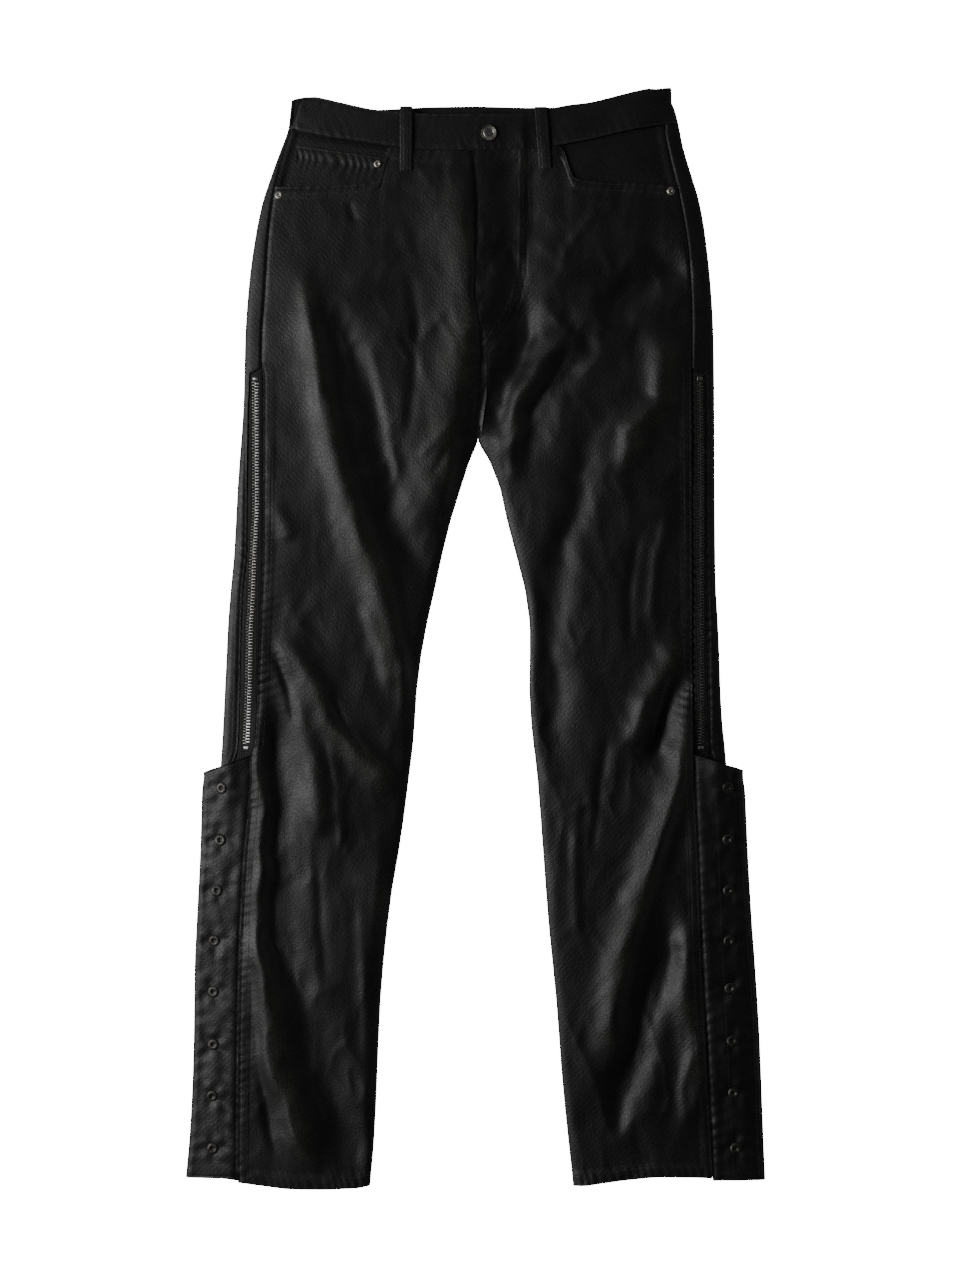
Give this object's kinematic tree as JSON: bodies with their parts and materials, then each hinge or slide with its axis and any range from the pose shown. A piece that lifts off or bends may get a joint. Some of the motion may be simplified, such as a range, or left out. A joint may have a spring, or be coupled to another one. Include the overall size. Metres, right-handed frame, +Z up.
{
  "type": "waxed jeans",
  "caption": "Long waxed denim jeans laid flat on their back, with scooped front pockets, long side zips and snap-fastened flaps down the lower legs.",
  "frame": {"origin": "on the surface that the jeans lie on, under the middle of their outline", "axes": "+Y towards the waistband, +X towards the wearer's left leg, +Z up from the surface; millimetre sizes in the source are converted to metres"},
  "size_m": [0.579, 1.0996, 0.0194],
  "materials": {
    "front_panels": "black waxed denim, satin, with soft creases",
    "back_panels": "black waxed denim, satin",
    "yokes": "black waxed denim, satin",
    "pocket_facings": "black waxed denim, satin",
    "coin_pocket": "black waxed denim, satin",
    "back_pockets": "black waxed denim, satin",
    "waistband": "black waxed denim, doubled and topstitched",
    "belt_loops": "black waxed denim, folded",
    "zip_tapes": "black woven tape, matt",
    "zip_chains": "dark metal zip teeth",
    "snap_flaps": "black waxed denim, doubled",
    "snap_underlaps": "black waxed denim",
    "snap_caps": "dark gunmetal ring snaps",
    "rivets": "aged pale metal",
    "waist_button": "aged pale metal, plain raised ring"
  },
  "bodies": {
    "root": {"front_panel_right": "front_panels", "front_panel_left": "front_panels", "back_panel_right": "back_panels", "back_panel_left": "back_panels", "back_yoke_right": "yokes", "back_yoke_left": "yokes", "back_pocket_right": "back_pockets", "back_pocket_left": "back_pockets", "pocket_facing_right": "pocket_facings", "pocket_facing_left": "pocket_facings", "coin_pocket": "coin_pocket", "waistband": "waistband", "belt_loop_front_right": "belt_loops", "belt_loop_front_left": "belt_loops", "belt_loop_back_right": "belt_loops", "belt_loop_back_middle": "belt_loops", "belt_loop_back_left": "belt_loops", "zip_tape_right": "zip_tapes", "zip_tape_left": "zip_tapes", "zip_chain_right": "zip_chains", "zip_chain_left": "zip_chains", "snap_flap_right": "snap_flaps", "snap_flap_left": "snap_flaps", "snap_underlap_right": "snap_underlaps", "snap_underlap_left": "snap_underlaps", "snap_right_1": "snap_caps", "snap_right_2": "snap_caps", "snap_right_3": "snap_caps", "snap_right_4": "snap_caps", "snap_right_5": "snap_caps", "snap_right_6": "snap_caps", "snap_right_7": "snap_caps", "snap_right_8": "snap_caps", "snap_left_1": "snap_caps", "snap_left_2": "snap_caps", "snap_left_3": "snap_caps", "snap_left_4": "snap_caps", "snap_left_5": "snap_caps", "snap_left_6": "snap_caps", "snap_left_7": "snap_caps", "snap_left_8": "snap_caps", "rivet_right_side": "rivets", "rivet_left_side": "rivets", "rivet_coin_pocket": "rivets", "waist_button": "waist_button"}
  },
  "joints": []
}
